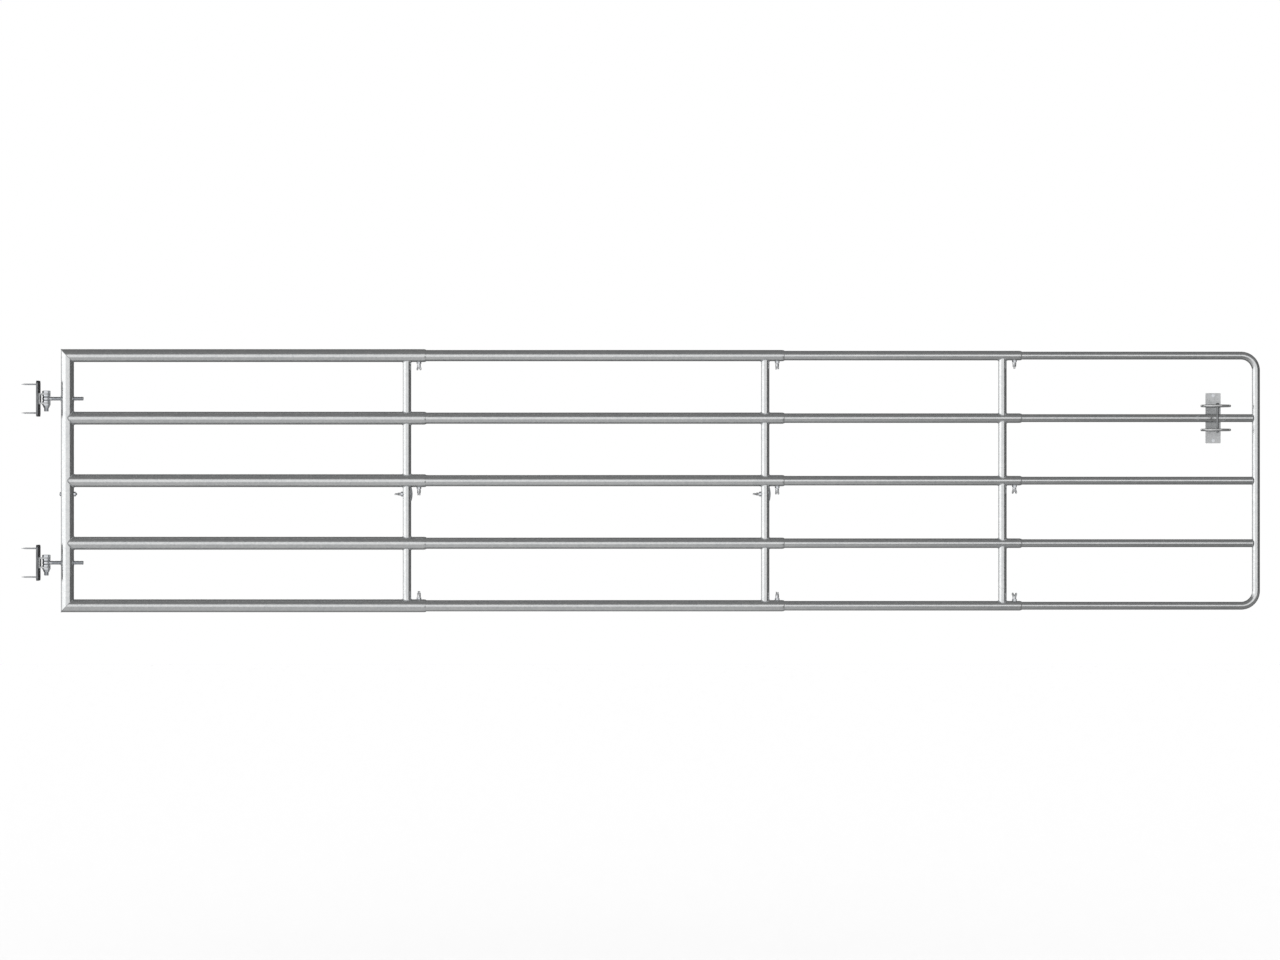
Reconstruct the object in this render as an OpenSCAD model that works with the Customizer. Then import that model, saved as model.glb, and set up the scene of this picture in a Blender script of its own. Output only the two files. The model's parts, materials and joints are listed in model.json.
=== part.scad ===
// Field gate of galvanised steel tube. Four sections telescope into one another and wing screws clamp
// them. Two post hinges carry the first section, and a post keeper holds the end section shut.
// +X runs along the gate from the hanging post, -Y faces the viewer and +Z is up. The origin is the
// centre of the lower hinge plate's back face, on the post.

/* [Gate] */
// Outer height, over the top and bottom rails
gate_h = 1100; // [900:10:1300]
// First section, from the hinge stile's axis to the rail ends
first_len = 1500; // [1200:5:1800]
// Second section, the length that shows past the first section's rail ends
second_len = 1498; // [1000:1:1800]
// Third section, the length that shows past the second section's rail ends
third_len = 992; // [700:1:1400]
// End section, from the third section's rail ends to the end stile's axis
end_len = 980; // [900:5:1400]
// Length of each inner tube that is held inside the next larger tube
overlap = 300; // [200:5:400]

/* [Tubes] */
// Outer diameter of the first section's tube
first_od = 54; // [51:0.5:60]
// Wall of the rails and stiles
tube_wall = 2; // [1.5:0.1:2.5]
// Radial play between one tube and the next inside it
tube_play = 1.5; // [1:0.1:2]
// Radial play at a rail's drawn-in mouth
mouth_play = 0.4; // [0.3:0.05:0.8]
// Length of the drawn-in mouth, which is rolled to a round lip
mouth_len = 10; // [8:1:20]
// Outer diameter of the uprights
upright_od = 35; // [26:0.5:36]
// Wall of the uprights
upright_wall = 2; // [1.5:0.1:3]
// Distance from the rail ends back to the upright's axis
upright_inset = 80; // [70:1:120]
// Centreline radius of the end tube's bends
end_bend_r = 62; // [45:1:90]

/* [Clamp screws] */
// Thread diameter of the wing screws and of the cross bolt
screw_d = 10; // [8:0.5:11]
// Distance from the rail ends back to the screw's axis
screw_inset = 30; // [24:1:36]
// Height of a welded nut above its tube
nut_h = 8; // [6:0.5:10]
// Width of a nut across its flats
nut_af = 17; // [15:0.5:19]
// Span over both wings
wing_span = 34; // [28:1:40]
// Height of the wing head
wing_h = 25; // [20:1:30]
// Thickness of a wing
wing_t = 4; // [3:0.25:6]

/* [Upright bolts] */
// Height of the bowed strap, with the wing bolt at its middle
strap_h = 56; // [40:1:80]
// Distance of the strap's upper end below the middle rail
strap_room = 1; // [0.5:0.5:20]
// Width of the bowed strap
strap_w = 20; // [14:1:24]
// Thickness of the bowed strap at its middle
strap_t = 5; // [4:0.25:8]
// Thickness of the bowed strap at its ends
strap_end_t = 1; // [0.5:0.1:3]

/* [Hinges] */
// Vertical distance between the two hinges
hinge_gap = 686; // [500:2:800]
// Distance from the post face to the hinge axis
hinge_reach = 38; // [36:0.5:60]
// Distance from the hinge axis to the stile's axis
stile_reach = 88; // [75:1:110]
// Height of a hinge plate
plate_h = 150; // [140:1:200]
// Width of a hinge plate
plate_w = 65; // [50:1:80]
// Thickness of a hinge plate
plate_t = 8; // [6:0.5:10]
// Corner radius of a hinge plate
plate_corner = 12; // [2:0.5:14]
// Shank diameter of a post screw
post_screw_d = 7; // [5:0.5:10]
// Length of a post screw past the plate's back face
post_screw_len = 68; // [50:1:90]
// Distance between the two screws of a hinge plate
post_screw_gap = 120; // [100:1:124]
// Thickness of the fork's flat bar
fork_t = 6; // [5:0.5:8]
// Clear height between the fork's lugs
fork_gap = 33; // [26:0.5:40]
// Diameter of the hinge bolt
hinge_bolt_d = 20; // [16:0.5:20]
// Wall of the eye round the hinge bolt
eye_wall = 6.9; // [6:0.1:10]
// Height of the eye
eye_h = 17; // [16.5:0.5:22]
// Rod diameter of the eyebolt
eyebolt_d = 16; // [12:0.5:16]
// Length of the eyebolt, from the hinge axis to the tip
eyebolt_len = 155; // [130:1:200]
// Outer diameter of the threaded bush inside the stile
bush_od = 24; // [20:0.5:30]

/* [Keeper] */
// Distance from the end stile's axis back to the keeper's middle
keeper_inset = 176; // [120:1:400]
// Width of the keeper plate
keeper_w = 63; // [40:1:90]
// Height of the keeper plate
keeper_h = 210; // [205:1:260]
// Thickness of the keeper plate
keeper_t = 5; // [4:0.5:8]
// Corner radius of the keeper plate
keeper_corner = 4; // [2:0.5:8]
// Distance between the keeper's two screws
keeper_screw_gap = 188; // [160:1:190]
// Outer diameter of a keeper ring
ring_od = 126; // [110:1:140]
// Diameter of the ring's round bar
ring_bar_d = 10; // [8:0.5:12]
// Vertical distance between the two rings
ring_gap = 100; // [80:1:120]
// Diameter of the drop pin
pin_d = 10; // [8:0.5:12]
// Wall of the sleeves that guide the pin
sleeve_wall = 2.8; // [2:0.1:4]

/* [Hidden] */
// How far a cutting shape runs past the face it cuts
over = 2;
// Gap that a weld closes
weld_gap = 0.1;
// Radial play of a bolt or screw in its hole, nut or bush
bolt_play = 0.1;
// Gap at rest between a moving piece and its seat
seat_gap = 0.3;
// Gap between a wing head and its nut
head_gap = 1.5;
// Radial play where a screw passes through a tube wall
wall_play = 0.4;
// Wall that is left at the end of a drawn-in mouth
mouth_lip = 0.8;
// How far an end rail's square-cut end reaches past the end stile's near side
end_lap = 2.5;
// Radius of a wing's tip and of its root
wing_tip_r = 5.5;
wing_root_r = 3.5;
// Depth of a screw head's hexagonal drive
drive_depth = 2;
// Distance that a wing bolt's tip lies below the strap's face
tip_recess = 0.5;
// Length of a cross bolt's thread past its nut
cross_tail = 5;
// Length of the hinge bolt's thread past its nut
hinge_tail = 15;
// Length that the pin reaches below the lower sleeve
pin_tail = 6;
// Height of a sleeve above and below its ring's bar
sleeve_rim = 1;

// Hub between the wings: its foot and top as shares of the screw's diameter, and its height as a share of
// the wing head. The clamp screws' hubs are stout, and those of the wing bolts on the uprights are slim.
clamp_hub = [1.6, 1.45, 0.7];
bolt_hub = [1.3, 1.1, 0.5];
// Where a wing's root sits, as shares of the wing head
wing_root_x_share = 0.2;
wing_root_z_share = 0.24;
// Heads and nuts as shares of the thread diameter
dome_d_share = 1.8;
dome_h_share = 0.7;
hinge_head_h_share = 0.55;
hinge_nut_h_share = 0.8;
hinge_nut_end_share = 1.15;
hinge_af_share = 1.5;
flat_nut_h_share = 0.8;
pin_head_d_share = 1.7;
pin_head_h_share = 0.5;
countersink_share = 2;
post_neck_share = 0.9;
drive_share = 0.85;
// Hexagon of a hinge nut as a share of its height, above the tapered locking collar
hinge_nut_hex_share = 0.35;
// Chamfer on a rod or bolt end, and the width of a wood screw's tip, as shares of its diameter
chamfer_share = 0.1;
point_share = 0.1;
point_len_share = 2;

// Angle of each wing screw about its own axis: one row per section, for its top, middle and bottom screw
wing_angles = [[58, 62, -80], [76, 72, -82], [80, 66, -66]];
// Angle of the wing bolts on the uprights, with the wings level
wing_bolt_angle = 90;

RAILS = ["top", "upper", "middle", "lower", "bottom"];
SECTIONS = ["first", "second", "third"];
// The rails that have a clamp screw, and the side it is on: -1 below the rail, 1 above it
CLAMPED = [0, 2, 4];
clamp_side = [-1, -1, 1];
// Facets along a drawn-in mouth
MOUTH_STEPS = 4;

tube_od = [for (s = [0:3]) first_od - 2 * s * (tube_wall + tube_play)];
stile_x = hinge_reach + stile_reach;
first_end = stile_x + first_len;
second_end = first_end + second_len;
third_end = second_end + third_len;
end_x = third_end + end_len;
rail_end = [first_end, second_end, third_end];
rail_start = [stile_x, first_end - overlap, second_end - overlap, third_end - overlap];
mid_z = hinge_gap / 2;
pitch = (gate_h - first_od) / (len(RAILS) - 1);
rail_z = [for (r = [0:4]) mid_z + (2 - r) * pitch];
hinge_z = [0, hinge_gap];
cross_z = mid_z - first_od / 2 - strap_room - strap_h / 2;

fork_half = fork_gap / 2 + fork_t;
eye_od = hinge_bolt_d + 2 * eye_wall;
hinge_nut_h = hinge_nut_h_share * hinge_bolt_d;
hinge_af = hinge_af_share * hinge_bolt_d;
spacer_h = (fork_gap - eye_h) / 2 - seat_gap;
countersink_d = countersink_share * post_screw_d;
countersink_h = (countersink_d - post_screw_d) / 2;

end_od = tube_od[3];
keeper_x = end_x - keeper_inset;
keeper_z = rail_z[1];
keeper_face_y = end_od / 2 + seat_gap;
ring_r = (ring_od - ring_bar_d) / 2;
ring_y = keeper_face_y - weld_gap - ring_od / 2;
sleeve_od = pin_d + 2 * (bolt_play + sleeve_wall);
sleeve_h = ring_bar_d + 2 * sleeve_rim;
pin_y = ring_y - (ring_r - ring_bar_d / 2 - sleeve_od / 2 - weld_gap);
ring_z = [keeper_z - ring_gap / 2, keeper_z + ring_gap / 2];

galvanised = "#c8ccd0";
bright_zinc = "#b9bec3";
$fn = 48;

// Shapes that several pieces share

// Flat plate in the XY plane with true round corners
module round_plate(w, h, t, r) {
  linear_extrude(t) {
    square([w - 2 * r, h], center = true);
    square([w, h - 2 * r], center = true);
    for (x = [-1, 1], y = [-1, 1]) translate([x * (w / 2 - r), y * (h / 2 - r)]) circle(r);
  }
}

// Solid of revolution along +Z: a rod with a chamfer at its far end
module rod(d, h) {
  c = chamfer_share * d;
  cylinder(d = d, h = h - c);
  translate([0, 0, h - c]) cylinder(d1 = d, d2 = d - 2 * c, h = c);
}

// Tube along +X with open ends
module plain_tube(od, wall, length) {
  rotate([0, 90, 0]) rotate_extrude() translate([od / 2 - wall, 0]) square([wall, length]);
}

// Tube along +X whose far end is drawn in to guide the next smaller tube, and rolled to a round lip
module mouthed_tube(od, inner_od, length) {
  bore_r = od / 2 - tube_wall;
  mouth_r = inner_od / 2 + mouth_play;
  drop = od / 2 - mouth_r - mouth_lip;
  roll_r = (mouth_len * mouth_len + drop * drop) / (2 * drop);
  turn = asin(mouth_len / roll_r) / MOUTH_STEPS;
  rotate([0, 90, 0]) rotate_extrude() polygon([
    [bore_r, 0], [od / 2, 0],
    for (k = [0:MOUTH_STEPS])
      [od / 2 - roll_r * (1 - cos(k * turn)), length - mouth_len + roll_r * sin(k * turn)],
    [mouth_r, length], [bore_r, length - mouth_len]
  ]);
}

// Low dome along +Z
module dome(d, h) {
  r = (d * d / 4 + h * h) / (2 * h);
  rotate_extrude() intersection() {
    translate([0, h - r]) circle(r);
    square([d / 2, h]);
  }
}

// Hexagonal prism with a bore along +Z
module hex_nut(af, h, bore_d) {
  difference() {
    cylinder(d = af / cos(30), h = h, $fn = 6);
    translate([0, 0, -over]) cylinder(d = bore_d, h = h + 2 * over);
  }
}

// Nut that stands on a tube of radius r along X, with its foot cut to the tube and its axis along +Z
module tube_nut(r) {
  foot = r - sqrt(r * r - nut_af * nut_af / 3);
  difference() {
    translate([0, 0, r - foot]) hex_nut(nut_af, nut_h + foot, screw_d + 2 * bolt_play);
    rotate([0, 90, 0]) cylinder(r = r + weld_gap, h = 2 * nut_af, center = true);
  }
}

// Wing screw along +Z: the wing head stands on z = 0 and the shank reaches down by its length
module wing_screw(length, hub) {
  mirror([0, 0, 1]) rod(screw_d, length);
  cylinder(d1 = hub[0] * screw_d, d2 = hub[1] * screw_d, h = hub[2] * wing_h);
  for (side = [-1, 1])
    translate([0, wing_t / 2, 0]) rotate([90, 0, 0]) linear_extrude(wing_t) hull() {
      translate([side * wing_root_x_share * wing_span, wing_root_z_share * wing_h]) circle(wing_root_r);
      translate([side * (wing_span / 2 - wing_tip_r), wing_h - wing_tip_r]) circle(wing_tip_r);
    }
}

// Countersunk wood screw along +Z, with its head's face at z = 0, in a plate of thickness t
module wood_screw(t) {
  neck_d = post_neck_share * post_screw_d;
  thread_len = post_screw_len - point_len_share * post_screw_d;
  difference() {
    union() {
      cylinder(d1 = countersink_d, d2 = neck_d, h = (countersink_d - neck_d) / 2);
      cylinder(d = neck_d, h = t);
      translate([0, 0, t]) cylinder(d = post_screw_d, h = thread_len);
      translate([0, 0, t + thread_len])
        cylinder(d1 = post_screw_d, d2 = point_share * post_screw_d, h = post_screw_len - thread_len);
    }
    translate([0, 0, -over]) cylinder(d = drive_share * post_screw_d, h = drive_depth + over, $fn = 6);
  }
}

// What a wood screw's countersunk hole takes off a plate that lies from z = 0 to its thickness t
module screw_hole(t) {
  translate([0, 0, -over]) cylinder(d = post_screw_d + 2 * bolt_play, h = t + 2 * over);
  cylinder(d1 = countersink_d + 2 * bolt_play, d2 = post_screw_d, h = countersink_h + bolt_play);
}

// Moves its children from +Z on a rail's axis to the clamp screw's place there
module at_clamp(s, c) {
  translate([rail_end[s] - screw_inset, 0, rail_z[CLAMPED[c]]])
    rotate([clamp_side[c] > 0 ? 0 : 180, 0, 0]) children();
}

// Moves its children from +Z on an upright's axis to its wing bolt, which points towards the stile
module at_upright_bolt(s) {
  translate([rail_end[s] - upright_inset, 0, cross_z]) rotate([0, -90, 0]) children();
}

// What the mitre at a corner of the stile takes off: below its plane for the rail, above it for the stile.
// The corner is at the top where up is 1, and at the bottom where it is -1.
module mitre_cut(up, for_rail) {
  size = 3 * first_od;
  translate([stile_x, 0, mid_z + up * 2 * pitch]) mirror([0, 0, up > 0 ? 0 : 1]) rotate([0, 45, 0])
    translate([-size / 2, -size / 2, for_rail ? weld_gap / 2 - size : -weld_gap / 2]) cube(size);
}

// Hinges

module hinge_plate(level) {
  color(galvanised) translate([0, 0, hinge_z[level]]) difference() {
    rotate([0, 90, 0]) rotate([0, 0, 90]) round_plate(plate_w, plate_h, plate_t, plate_corner);
    for (side = [-1, 1]) translate([plate_t, 0, side * post_screw_gap / 2]) rotate([0, -90, 0])
      screw_hole(plate_t);
  }
}

module hinge_fork(level) {
  color(galvanised) translate([0, 0, hinge_z[level]]) difference() {
    union() {
      translate([plate_t, -eye_od / 2, -fork_half]) cube([fork_t, eye_od, 2 * fork_half]);
      for (side = [-1, 1]) translate([0, 0, side * (fork_gap + fork_t) / 2 - fork_t / 2]) {
        translate([plate_t, -eye_od / 2, 0]) cube([hinge_reach - plate_t, eye_od, fork_t]);
        translate([hinge_reach, 0, 0]) cylinder(d = eye_od, h = fork_t);
      }
    }
    translate([hinge_reach, 0, -fork_half - over])
      cylinder(d = hinge_bolt_d + 2 * bolt_play, h = 2 * (fork_half + over));
  }
}

module hinge_bolt(level) {
  color(bright_zinc) translate([hinge_reach, 0, hinge_z[level] + fork_half]) {
    cylinder(d = hinge_af / cos(30), h = hinge_head_h_share * hinge_bolt_d, $fn = 6);
    mirror([0, 0, 1]) rod(hinge_bolt_d, 2 * fork_half + hinge_nut_h + hinge_tail);
  }
}

module hinge_nuts() {
  bore_d = hinge_bolt_d + 2 * bolt_play;
  collar_h = (1 - hinge_nut_hex_share) * hinge_nut_h;
  color(bright_zinc) for (z = hinge_z) translate([hinge_reach, 0, z - fork_half - hinge_nut_h]) {
    translate([0, 0, collar_h]) hex_nut(hinge_af, hinge_nut_h - collar_h, bore_d);
    difference() {
      cylinder(d1 = hinge_nut_end_share * hinge_bolt_d, d2 = hinge_af, h = collar_h);
      translate([0, 0, -over]) cylinder(d = bore_d, h = collar_h + 2 * over);
    }
  }
}

module hinge_spacers() {
  color(bright_zinc) for (z = hinge_z, side = [-1, 1])
    translate([hinge_reach, 0, z + side * (fork_gap - spacer_h) / 2 - spacer_h / 2]) difference() {
      cylinder(d = eye_od, h = spacer_h);
      translate([0, 0, -over]) cylinder(d = hinge_bolt_d + 2 * bolt_play, h = spacer_h + 2 * over);
    }
}

module post_screws() {
  color(bright_zinc) for (z = hinge_z, side = [-1, 1])
    translate([plate_t, 0, z + side * post_screw_gap / 2]) rotate([0, -90, 0]) wood_screw(plate_t);
}

module eyebolt(level) {
  color(bright_zinc) translate([hinge_reach, 0, hinge_z[level]]) difference() {
    union() {
      translate([0, 0, -eye_h / 2]) cylinder(d = eye_od, h = eye_h);
      rotate([0, 90, 0]) rod(eyebolt_d, eyebolt_len);
    }
    translate([0, 0, -eye_h / 2 - over]) cylinder(d = hinge_bolt_d + 2 * bolt_play, h = eye_h + 2 * over);
  }
}

module eyebolt_bushes() {
  color(galvanised) for (z = hinge_z) difference() {
    intersection() {
      translate([stile_x, 0, z]) rotate([0, 90, 0]) cylinder(d = bush_od, h = first_od, center = true);
      translate([stile_x, 0, z]) cylinder(d = first_od, h = 2 * bush_od, center = true);
    }
    translate([stile_x, 0, z]) rotate([0, 90, 0])
      cylinder(d = eyebolt_d + 2 * bolt_play, h = first_od + 2 * over, center = true);
  }
}

// First section

module hinge_stile() {
  color(galvanised) difference() {
    translate([stile_x, 0, mid_z - gate_h / 2]) rotate([0, -90, 0])
      plain_tube(first_od, tube_wall, gate_h);
    for (up = [-1, 1]) mitre_cut(up, false);
    for (z = hinge_z) translate([stile_x, 0, z]) rotate([0, 90, 0])
      cylinder(d = bush_od + 2 * bolt_play, h = first_od + 2 * over, center = true);
    translate([stile_x, 0, cross_z]) rotate([0, 90, 0])
      cylinder(d = screw_d + 2 * wall_play, h = first_od + 2 * over, center = true);
  }
}

module stile_bolt() {
  nut_t = flat_nut_h_share * screw_d;
  color(bright_zinc) translate([stile_x - first_od / 2 - weld_gap, 0, cross_z]) {
    rotate([0, -90, 0]) dome(dome_d_share * screw_d, dome_h_share * screw_d);
    rotate([0, 90, 0]) rod(screw_d, first_od + 2 * weld_gap + nut_t + cross_tail);
  }
}

module stile_bolt_nut() {
  color(bright_zinc) translate([stile_x + first_od / 2 + weld_gap, 0, cross_z]) rotate([0, 90, 0])
    hex_nut(nut_af, flat_nut_h_share * screw_d, screw_d + 2 * bolt_play);
}

// Rails, uprights and clamp nuts of the first three sections. Section s counts from 0.

module section_rail(s, r) {
  corner = r == 0 || r == len(RAILS) - 1;
  start = s == 0 && corner ? rail_start[s] - first_od / 2 : rail_start[s];
  clamp = search(r, CLAMPED);
  color(galvanised) difference() {
    translate([start, 0, rail_z[r]]) mouthed_tube(tube_od[s], tube_od[s + 1], rail_end[s] - start);
    if (s == 0 && corner) mitre_cut(r == 0 ? 1 : -1, true);
    if (s == 0 && !corner)
      translate([stile_x, 0, rail_z[r] - first_od]) cylinder(d = first_od + 2 * weld_gap, h = 2 * first_od);
    for (c = clamp) at_clamp(s, c) cylinder(d = screw_d + 2 * wall_play, h = tube_od[s]);
  }
}

module section_upright(s) {
  x = rail_end[s] - upright_inset;
  color(galvanised) difference() {
    for (r = [0:3]) translate([x, 0, rail_z[r + 1]]) rotate([0, -90, 0])
      plain_tube(upright_od, upright_wall, pitch);
    for (z = rail_z) translate([x, 0, z]) rotate([0, 90, 0])
      cylinder(d = tube_od[s] + 2 * weld_gap, h = 2 * upright_od, center = true);
    if (s < 2) at_upright_bolt(s) cylinder(d = screw_d + 2 * wall_play, h = 2 * upright_od, center = true);
  }
}

module clamp_nuts(s) {
  color(bright_zinc) for (c = [0:2]) at_clamp(s, c) tube_nut(tube_od[s] / 2);
}

module clamp_wing_screw(s, c) {
  head = tube_od[s] / 2 + nut_h + head_gap;
  tip = tube_od[s + 1] / 2 + seat_gap;
  color(bright_zinc) at_clamp(s, c) translate([0, 0, head]) rotate([0, 0, wing_angles[s][c]])
    wing_screw(head - tip, clamp_hub);
}

module bolt_nut(s) {
  color(bright_zinc) at_upright_bolt(s) tube_nut(upright_od / 2);
}

module upright_strap(s) {
  bulge = strap_t - strap_end_t;
  bow_r = (strap_h * strap_h / 4 + bulge * bulge) / (2 * bulge);
  reach = upright_od / 2 + strap_t;
  color(galvanised) translate([rail_end[s] - upright_inset, 0, cross_z]) difference() {
    intersection() {
      translate([0, -strap_w / 2, -strap_h / 2]) cube([reach, strap_w, strap_h]);
      translate([reach - bow_r, 0, 0]) rotate([90, 0, 0])
        cylinder(r = bow_r, h = 2 * strap_w, center = true, $fn = 180);
    }
    cylinder(d = upright_od + 2 * weld_gap, h = 2 * strap_h, center = true);
    rotate([0, 90, 0]) cylinder(d = screw_d + 2 * bolt_play, h = 2 * reach);
  }
}

module upright_wing_bolt(s) {
  head = upright_od / 2 + nut_h + head_gap;
  color(bright_zinc) at_upright_bolt(s) translate([0, 0, head]) rotate([0, 0, wing_bolt_angle])
    wing_screw(head + upright_od / 2 + strap_t - tip_recess, bolt_hub);
}

// End section

// Solid of the end hoop's outline with diameter d, run on past its open ends by extra
module hoop_solid(d, extra) {
  straight = end_x - end_bend_r - rail_start[3] + extra;
  for (side = [-1, 1]) mirror([0, 0, side > 0 ? 0 : 1]) {
    translate([end_x - end_bend_r - straight, 0, 2 * pitch]) rotate([0, 90, 0])
      cylinder(d = d, h = straight);
    translate([end_x - end_bend_r, 0, 2 * pitch - end_bend_r]) rotate([90, 0, 0])
      rotate_extrude(angle = 90) translate([end_bend_r, 0]) circle(d = d);
  }
  translate([end_x, 0, end_bend_r - 2 * pitch]) cylinder(d = d, h = 4 * pitch - 2 * end_bend_r);
}

module end_hoop() {
  color(galvanised) translate([0, 0, mid_z]) difference() {
    hoop_solid(end_od, 0);
    hoop_solid(end_od - 2 * tube_wall, over);
  }
}

module end_rail(r) {
  length = end_x - end_od / 2 + end_lap - rail_start[3];
  color(galvanised) difference() {
    translate([rail_start[3], 0, rail_z[r]]) plain_tube(end_od, tube_wall, length);
    translate([end_x, 0, rail_z[r] - end_od]) cylinder(d = end_od + 2 * weld_gap, h = 2 * end_od);
  }
}

// Keeper

module keeper_plate() {
  color(galvanised) translate([keeper_x, keeper_face_y, keeper_z]) rotate([-90, 0, 0]) difference() {
    round_plate(keeper_w, keeper_h, keeper_t, keeper_corner);
    for (side = [-1, 1]) translate([0, side * keeper_screw_gap / 2, 0]) screw_hole(keeper_t);
  }
}

module keeper_screws() {
  color(bright_zinc) for (side = [-1, 1])
    translate([keeper_x, keeper_face_y, keeper_z + side * keeper_screw_gap / 2]) rotate([-90, 0, 0])
      wood_screw(keeper_t);
}

module keeper_rings() {
  color(galvanised) for (z = ring_z) translate([keeper_x, ring_y, z])
    rotate_extrude() translate([ring_r, 0]) circle(d = ring_bar_d);
}

module keeper_sleeves() {
  color(galvanised) for (z = ring_z) translate([keeper_x, pin_y, z - sleeve_h / 2]) difference() {
    cylinder(d = sleeve_od, h = sleeve_h);
    translate([0, 0, -over]) cylinder(d = pin_d + 2 * bolt_play, h = sleeve_h + 2 * over);
  }
}

module keeper_pin() {
  color(bright_zinc) translate([keeper_x, pin_y, ring_z[1] + sleeve_h / 2 + seat_gap]) {
    dome(pin_head_d_share * pin_d, pin_head_h_share * pin_d);
    mirror([0, 0, 1]) rod(pin_d, ring_gap + sleeve_h + seat_gap + pin_tail);
  }
}

hinge_plate(1);  // upper_hinge_plate
hinge_plate(0);  // lower_hinge_plate
hinge_fork(1);  // upper_hinge_fork
hinge_fork(0);  // lower_hinge_fork
hinge_bolt(1);  // upper_hinge_bolt
hinge_bolt(0);  // lower_hinge_bolt
hinge_nuts();
hinge_spacers();
post_screws();
eyebolt(1);  // upper_eyebolt
eyebolt(0);  // lower_eyebolt
eyebolt_bushes();
hinge_stile();
stile_bolt();
stile_bolt_nut();
for (s = [0:2]) {
  for (r = [0:4]) {
    section_rail(s, r);
  }
  section_upright(s);
  clamp_nuts(s);
  for (c = [0:2]) {
    name = str(SECTIONS[s], "_", RAILS[CLAMPED[c]], "_wing_screw");
    clamp_wing_screw(s, c);
  }
}
for (s = [0:1]) {
  bolt_nut(s);
  upright_strap(s);
  upright_wing_bolt(s);
}
end_hoop();
end_rail(1);  // end_upper_rail
end_rail(2);  // end_middle_rail
end_rail(3);  // end_lower_rail
keeper_plate();
keeper_screws();
keeper_rings();
keeper_sleeves();
keeper_pin();
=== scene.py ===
# %% [markdown]
# # A telescoping field gate
#
# This lesson dresses a gate of galvanised steel tube. Its solids arrive at their real size and place, in
# metres, with +X along the gate, -Y towards the viewer and +Z up. Nothing here moves them: the lesson adds
# what the eye still misses, which is the finish of the zinc, the weld beads, the screw threads, the rounded
# edges of the small ironwork, and the light.

# %% Load the gate
import json
import math

import bmesh
import bpy
from mathutils import Matrix, Vector

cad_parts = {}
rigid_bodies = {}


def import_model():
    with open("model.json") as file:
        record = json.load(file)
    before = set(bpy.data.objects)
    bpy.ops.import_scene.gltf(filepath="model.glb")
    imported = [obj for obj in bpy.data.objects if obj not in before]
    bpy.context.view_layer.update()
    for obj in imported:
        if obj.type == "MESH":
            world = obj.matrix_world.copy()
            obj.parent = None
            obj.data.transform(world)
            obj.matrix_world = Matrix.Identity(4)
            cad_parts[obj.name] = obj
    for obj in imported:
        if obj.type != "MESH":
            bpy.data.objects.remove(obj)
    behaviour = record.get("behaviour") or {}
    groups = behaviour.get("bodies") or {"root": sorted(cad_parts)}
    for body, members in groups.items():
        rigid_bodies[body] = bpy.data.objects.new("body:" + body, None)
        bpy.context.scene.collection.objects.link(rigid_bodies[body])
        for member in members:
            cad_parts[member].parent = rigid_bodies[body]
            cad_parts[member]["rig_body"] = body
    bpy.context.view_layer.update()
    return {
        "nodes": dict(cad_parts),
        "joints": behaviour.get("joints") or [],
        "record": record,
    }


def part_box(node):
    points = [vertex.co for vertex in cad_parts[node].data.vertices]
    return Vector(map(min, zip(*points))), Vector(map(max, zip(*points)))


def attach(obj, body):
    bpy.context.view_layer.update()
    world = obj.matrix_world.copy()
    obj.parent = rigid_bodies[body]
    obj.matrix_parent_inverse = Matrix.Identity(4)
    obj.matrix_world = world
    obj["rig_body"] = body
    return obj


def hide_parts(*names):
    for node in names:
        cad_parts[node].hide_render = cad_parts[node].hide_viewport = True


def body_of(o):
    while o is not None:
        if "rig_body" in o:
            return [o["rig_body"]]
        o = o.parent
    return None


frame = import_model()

nodes = frame["nodes"]
joints = {joint["name"]: joint for joint in frame["joints"]}
slots = {part["node"]: part["material_slot"] for part in frame["record"]["subparts"]}
scene = bpy.context.scene
MM = 0.001
X, Y, Z = Vector((1, 0, 0)), Vector((0, 1, 0)), Vector((0, 0, 1))

# %% [markdown]
# ## Where the viewer stands
#
# The rails' parallel edges hardly converge in the picture, so the viewer is far away with a long lens. Parts
# that stand in front of the gate's plane shift outwards by about one part in fourteen per metre, which puts
# the camera 14 m from the rails. It looks straight along +Y, so it needs no tilt and no lens shift.

# %% Camera
VIEW_DISTANCE = 14.0
SEEN_WIDTH = 5.3528
VIEW_X = 2.5204
VIEW_Z = 0.3458
FILM_WIDTH = 36.0

camera_data = bpy.data.cameras.new("long_lens")
camera_data.sensor_width = FILM_WIDTH
camera_data.lens = FILM_WIDTH * VIEW_DISTANCE / SEEN_WIDTH
camera = bpy.data.objects.new("viewer", camera_data)
camera.location = (VIEW_X, -VIEW_DISTANCE, VIEW_Z)
camera.rotation_euler = (math.radians(90), 0, 0)
scene.collection.objects.link(camera)
scene.camera = camera
scene.view_settings.view_transform = "Standard"
print("lens of", round(camera_data.lens, 1), "mm at", VIEW_DISTANCE, "m")

# %% [markdown]
# ## Colours and nodes
#
# Colours are written as they look on a screen, in sRGB hex, and one function turns them into the linear
# light that the renderer counts in. A second small function adds a shader node: what it is given is either a
# value for a socket or another node's output to link there.

# %% Helpers for materials


def linear(hex_colour):
    channels = [int(hex_colour[i:i + 2], 16) / 255 for i in (1, 3, 5)]
    return [c / 12.92 if c <= 0.04045 else ((c + 0.055) / 1.055) ** 2.4 for c in channels] + [1.0]


def add_node(tree, kind, sockets=None, **settings):
    node = tree.nodes.new(kind)
    for name, value in settings.items():
        setattr(node, name, value)
    for name, value in (sockets or {}).items():
        if isinstance(value, bpy.types.NodeSocket):
            tree.links.new(value, node.inputs[name])
        else:
            node.inputs[name].default_value = value
    return node


def new_tree(owner):
    owner.use_nodes = True
    owner.node_tree.nodes.clear()
    return owner.node_tree


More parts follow.
